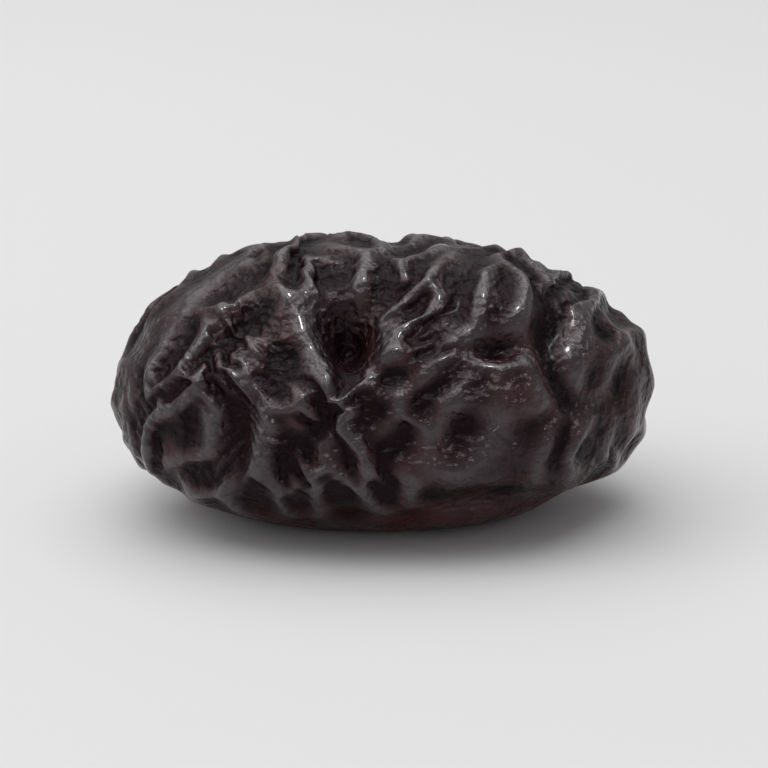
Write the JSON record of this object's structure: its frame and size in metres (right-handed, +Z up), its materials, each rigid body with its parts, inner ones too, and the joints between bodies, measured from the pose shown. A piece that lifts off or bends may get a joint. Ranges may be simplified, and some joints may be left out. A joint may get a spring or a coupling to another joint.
{
  "type": "dried cherry",
  "caption": "Whole dried cherry, pitted: a flattened oval fruit with a net of wrinkles, a deep stone hollow in its upper front and a small flat spot to rest on.",
  "frame": {"origin": "on the ground, under the middle of the fruit's length and width", "axes": "+X along the fruit's length towards its more pointed end, +Z up, and -Y out of its front"},
  "size_m": [0.017, 0.0126, 0.0088],
  "materials": {
    "cherry_skin": "dark, tough, semi-gloss dried skin"
  },
  "bodies": {
    "root": {"dried_cherry": "cherry_skin"}
  },
  "joints": []
}
